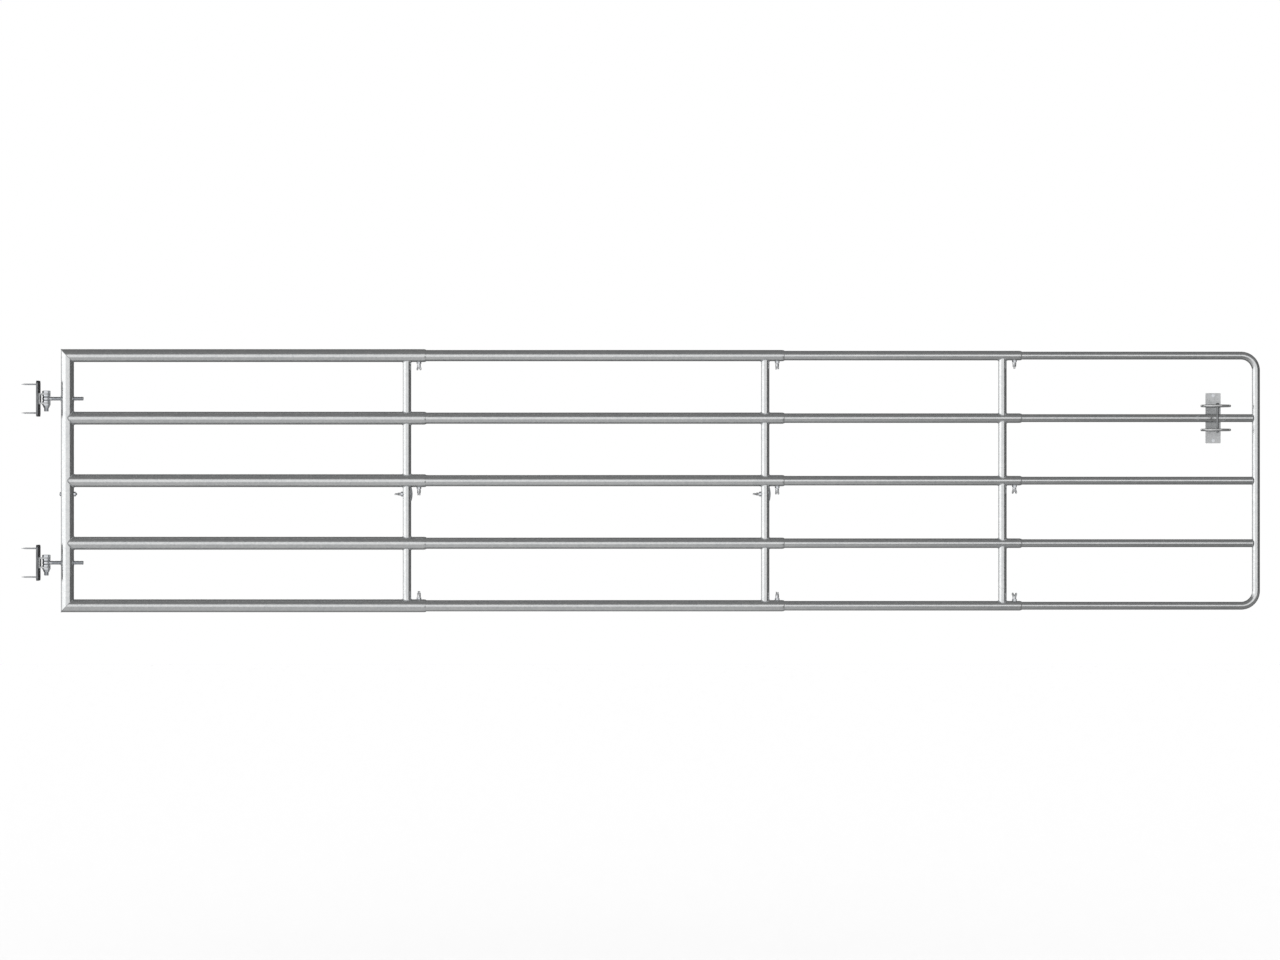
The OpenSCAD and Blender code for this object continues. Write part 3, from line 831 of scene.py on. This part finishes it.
for name, body, plates, axis, side in (
    ("post_screws", "hinge_brackets", ("lower_hinge_plate", "upper_hinge_plate"), -X, Y),
    ("keeper_screws", "keeper", ("keeper_plate",), Y, X),
):
    length = abs(width(name, axis))
    spread = width(name, Z) - 2 * HEAD_R - (middle(plates[-1]).z - middle(plates[0]).z)
    shape = bmesh.new()
    for plate in plates:
        thick = abs(width(plate, axis))
        for way in (-0.5, 0.5):
            head = middle(plate) - thick / 2 * axis + way * spread * Z
            wood_screw(shape, placed(head, axis, side), thick, length)
    made = add_piece(f"{name}_threaded", shape, body, bolt_zinc, slots[name], name)
    print(made.name, round(length / MM, 1), "mm long")

# %% [markdown]
# ## Wing screws
#
# A wing screw is cast, so nothing on it is sharp: the hub has a rounded shoulder and each wing is a flat
# blade with rounded edges, narrow at the root and round at the tip. The clamp screws have a stout hub, and
# the bolts across the uprights a slim one. A subdivided cage would give the same softness, but not these
# exact sizes, so the blade too is a stack of rings. Each screw turns on its own, so each gets its own piece.
# The wings' direction is read from the solid: it is where the solid is widest.

# %% Wing screws
WING_H = 25 * MM
WING_T = 4.2 * MM
# The blade lies round two circles: each has a middle, out from the axis and up, and a radius
WING_ROOT = (Vector((6.8 * MM, 6 * MM)), 3.5 * MM)
WING_TIP = (Vector((11.5 * MM, 19.5 * MM)), 5.5 * MM)
# Across the blade's edge: how far it draws in, in millimetres, and the depth as a share of the thickness
WING_EDGE = ((1.5, 0.5), (0.6, 0.42), (0.0, 0.2), (0.0, -0.2), (0.6, -0.42), (1.5, -0.5))
# Up the hub: height and radius in millimetres
STOUT_HUB = ((0, 7.4), (0.6, 8.0), (16.0, 7.3), (17.1, 6.5), (17.5, 5.0))
SLIM_HUB = ((0, 5.9), (0.6, 6.5), (11.0, 5.7), (12.2, 5.1), (12.5, 4.0))
SHANK_R = 5 * MM
SHANK_CHAMFER = 1 * MM


def support(turn, inset):
    way = Vector((math.cos(turn), math.sin(turn)))
    spots = [(centre + way * (r - inset), centre.dot(way) + r) for centre, r in (WING_ROOT, WING_TIP)]
    return max(spots, key=lambda spot: spot[1])[0]


wing_joints = [j for name, j in joints.items() if name.endswith(("clamp_turn", "wing_bolt_turn"))]
for joint in wing_joints:
    name = joint["child"]
    origin, axis = Vector(joint["pos_m"]), Vector(joint["axis"])
    spots = [v.co - origin for v in nodes[name].data.vertices]
    head = max(spot.dot(axis) for spot in spots) - WING_H
    length = head - min(spot.dot(axis) for spot in spots)
    off = [spot - spot.dot(axis) * axis for spot in spots]
    place = placed(origin + head * axis, axis, max(off, key=lambda spot: spot.length).normalized())
    hub = STOUT_HUB if name.endswith("screw") else SLIM_HUB
    turned = [(-length, SHANK_R - SHANK_CHAMFER), (SHANK_CHAMFER - length, SHANK_R), (0, SHANK_R)]
    shape = bmesh.new()
    skin(shape, [ring(shape, place, h, r) for h, r in turned + [(h * MM, r * MM) for h, r in hub]])
    for side in (-1, 1):
        rings = []
        for inset, depth in WING_EDGE:
            blade = [support(turn, inset * MM) for turn in whole_turn(SIDES)]
            rings.append([shape.verts.new(place @ Vector((side * p.x, depth * WING_T, p.y))) for p in blade])
        skin(shape, rings)
    add_piece(f"{name}_cast", shape, name, cast_zinc, slots[name], name)
print(len(wing_joints), "wing screws and bolts")

# %% [markdown]
# ## Painted shade on the keeper
#
# The end rail slides past the keeper's plate between its two rings, and the rings keep the light off the
# plate there. That part of the plate is drawn darker, which is painted shade. The patch could be a second
# material on its own faces, but that would have hard edges. Here it is a second colour, mixed in by height.

# %% Painted shade on the keeper's zinc
# The painted shade fades in over this height next to each ring
SHADE_EDGE = 3 * MM

# The plate of the keeper gives the same grey as the other plates, and a darker one between the rings as
# painted shade
keeper_zinc = zinc("keeper_zinc_with_painted_shade", "#d0d1d2", "#c8cacb", (0.36, 0.42),
                   spangle=16, cloud=60, grain=2, lift=0.02)
tree = keeper_zinc.node_tree
shader = next(node for node in tree.nodes if node.type == "BSDF_PRINCIPLED")
height = add_node(tree, "ShaderNodeSeparateXYZ", {
    "Vector": add_node(tree, "ShaderNodeTexCoord").outputs["Object"],
}).outputs["Z"]
low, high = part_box("keeper_rings")
above = add_node(tree, "ShaderNodeMapRange", {
    "Value": height, "From Min": low.z + BAR_R, "From Max": low.z + BAR_R + SHADE_EDGE,
})
below = add_node(tree, "ShaderNodeMapRange", {
    "Value": height, "From Min": high.z - BAR_R, "From Max": high.z - BAR_R - SHADE_EDGE,
})
patch = add_node(tree, "ShaderNodeMath", {
    0: above.outputs["Result"], 1: below.outputs["Result"],
}, operation="MULTIPLY")
# The darker grey mixed in between the rings is painted shade, not a colour of the zinc
painted_shade = add_node(tree, "ShaderNodeMix", {
    "Factor": patch.outputs["Value"], "A": shader.inputs["Base Color"].links[0].from_socket,
    "B": linear("#b0b2b3"),
}, data_type="RGBA")
tree.links.new(painted_shade.outputs["Result"], shader.inputs["Base Color"])
print("rubbed patch", round((high.z - low.z - 2 * BAR_R) / MM), "mm high")

# %% [markdown]
# ## Softened plates and nuts
#
# The plates, forks, straps and nuts were cut or punched and then tumbled and dipped, so no edge is knife
# sharp and each one catches a thin line of light. Their copies get the edge taken off by up to a millimetre.
# A bevel that is shaded smooth would bend the light on the flat faces beside it too. Weighted normals give
# these faces, which are much larger than the bevel, the last word, so that they stay flat to the eye.

# %% Softened ironwork
FLAT_ANGLE = math.radians(1)
EDGE_ANGLE = math.radians(35)
SAME_SPOT = 0.001 * MM
EDGE_STEPS, ROUND = 2, 0.5
# Finish, width of the edge taken off in millimetres, and the solids
SOFT = (
    (dark_zinc, 0.8, ("upper_hinge_plate", "lower_hinge_plate")),
    (plate_zinc, 1.0, ("upper_hinge_fork", "lower_hinge_fork")),
    (keeper_zinc, 0.8, ("keeper_plate",)),
    (plate_zinc, 0.5, ("keeper_sleeves",)),
    (pin_zinc, 0.5, ("keeper_pin",)),
    (dark_zinc, 0.3, ("first_strap", "second_strap")),
    (bolt_zinc, 0.6, ("hinge_nuts", "stile_bolt_nut")),
    (bolt_zinc, 0.5, ("hinge_spacers", "first_bolt_nut", "second_bolt_nut")),
    (bolt_zinc, 0.5, ("first_clamp_nuts", "second_clamp_nuts", "third_clamp_nuts")),
)
for finish, edge, names in SOFT:
    for name in names:
        shape = bmesh.new()
        shape.from_mesh(nodes[name].data)
        bmesh.ops.remove_doubles(shape, verts=shape.verts, dist=SAME_SPOT)
        bmesh.ops.dissolve_limit(shape, angle_limit=FLAT_ANGLE, verts=shape.verts, edges=shape.edges)
        sharp = [e for e in shape.edges if len(e.link_faces) == 2 and e.calc_face_angle() > EDGE_ANGLE]
        bmesh.ops.bevel(
            shape, geom=sharp, offset=edge * MM, segments=EDGE_STEPS, profile=ROUND,
            affect="EDGES", clamp_overlap=True,
        )
        body = body_of(nodes[name])[0]
        softened = add_piece(f"{name}_softened", shape, body, finish, slots[name], name)
        softened.modifiers.new("flat_faces", "WEIGHTED_NORMAL").keep_sharp = True
    print(finish.name, "on", ", ".join(names))

# %% [markdown]
# ## Tube
#
# The rails, uprights, stile, end hoop and bushes stay as they are, since a tube is already the shape it
# should be, and so do the keeper's rings of round bar. They only get their zinc, which is brighter on the
# rings.

# %% Finish of the tubes
tubes = [solid for solid in nodes.values() if not solid.hide_render]
for solid in tubes:
    solid.data.materials.clear()
    solid.data.materials.append(bar_zinc if solid == nodes["keeper_rings"] else tube_zinc)
print(len(tubes), "solids shown as they are")
